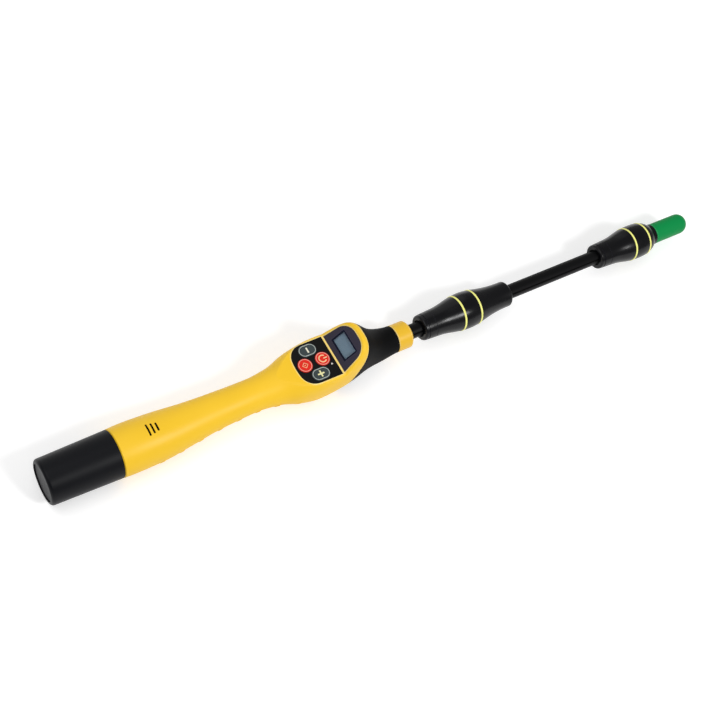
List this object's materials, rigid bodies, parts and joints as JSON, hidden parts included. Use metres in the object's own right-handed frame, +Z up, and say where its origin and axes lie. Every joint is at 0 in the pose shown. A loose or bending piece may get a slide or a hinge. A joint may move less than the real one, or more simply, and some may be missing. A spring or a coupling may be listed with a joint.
{
  "type": "sonde locator",
  "caption": "Straight hand-held sonde locator: ribbed yellow handle, keypad and sloping display head, black cap and neck, and a sliding wand with coil sleeves and a green tip.",
  "frame": {"origin": "middle of the length and width, on the floor under the part with the wand pushed in", "axes": "+X along the wand from the battery cap to the green tip, +Z up with the keypad on top"},
  "size_m": [0.8054, 0.0556, 0.0793],
  "materials": {
    "yellow_shell": "satin moulded",
    "black_plastic": "satin moulded",
    "black_rubber": "semi-gloss moulded",
    "ring_yellow": "satin",
    "tip_green": "satin moulded",
    "key_dark": "satin",
    "key_red": "satin",
    "keypad_black": "satin",
    "display_panel": "gloss",
    "window": "clear",
    "lcd": "satin",
    "rod_grey": "pultruded",
    "steel": "plain",
    "brass": "plain",
    "board_green": "satin",
    "copper_winding": "enamelled",
    "seal_rubber": "matt",
    "white_nylon": "satin",
    "cell_wrap": "printed sleeve, plain",
    "lead_black": "satin"
  },
  "bodies": {
    "handle": {"upper_shell": "yellow_shell", "lower_shell": "yellow_shell", "neck_boot": "black_plastic", "shell_screws": "steel", "cap_socket": "black_plastic", "socket_seal": "seal_rubber", "battery_cells": "cell_wrap", "battery_carrier": "black_plastic", "contact_pins": "brass", "contact_board": "board_green", "battery_lead": "lead_black", "speaker": "steel", "speaker_gasket": "seal_rubber", "keypad_panel": "keypad_black", "display_panel": "display_panel", "lcd_window": "window", "lcd_module": "lcd", "main_board": "board_green", "board_screws": "steel", "key_switches": "black_plastic", "guide_tube": "white_nylon", "front_bush": "white_nylon", "collet": "white_nylon", "coiled_lead": "lead_black"},
    "cap": {"battery_cap": "black_plastic", "carrier_spring": "steel"},
    "collar": {"lock_collar": "yellow_shell"},
    "wand": {"wand_rod": "rod_grey", "rod_stop": "white_nylon", "signal_cable": "lead_black", "tip": "tip_green", "sleeve_1_rear": "black_rubber", "sleeve_1_band": "black_rubber", "sleeve_1_front": "black_rubber", "ring_1_rear": "ring_yellow", "ring_1_front": "ring_yellow", "coil_former_1": "white_nylon", "coil_1": "copper_winding", "sleeve_2_rear": "black_rubber", "sleeve_2_band": "black_rubber", "sleeve_2_front": "black_rubber", "ring_2_rear": "ring_yellow", "ring_2_front": "ring_yellow", "coil_former_2": "white_nylon", "coil_2": "copper_winding"},
    "minus_button": {"minus_key": "key_dark"},
    "plus_button": {"plus_key": "key_dark"},
    "power_button": {"power_key": "key_red"},
    "locate_button": {"locate_key": "key_red"}
  },
  "joints": [
    {"name": "wand_slide", "type": "slide", "parent": "handle", "child": "wand", "axis": [1, 0, 0], "range_m": [0, 0.22], "deforming": ["coiled_lead"]},
    {"name": "collar_twist", "type": "hinge", "parent": "handle", "child": "collar", "pos_m": [-0.0033, 0, 0.03], "axis": [1, 0, 0], "range_deg": [0, 60]},
    {"name": "cap_twist", "type": "hinge", "parent": "handle", "child": "cap", "pos_m": [-0.3313, 0, 0.0262], "axis": [1, 0, 0], "range_deg": [0, 60]},
    {"name": "minus_press", "type": "slide", "parent": "handle", "child": "minus_button", "axis": [0, 0, -1], "range_m": [0, 0.0008], "stiffness_N_per_m": 800},
    {"name": "plus_press", "type": "slide", "parent": "handle", "child": "plus_button", "axis": [0, 0, -1], "range_m": [0, 0.0008], "stiffness_N_per_m": 800},
    {"name": "power_press", "type": "slide", "parent": "handle", "child": "power_button", "axis": [0, 0, -1], "range_m": [0, 0.0008], "stiffness_N_per_m": 800},
    {"name": "locate_press", "type": "slide", "parent": "handle", "child": "locate_button", "axis": [0, 0, -1], "range_m": [0, 0.0008], "stiffness_N_per_m": 800}
  ]
}
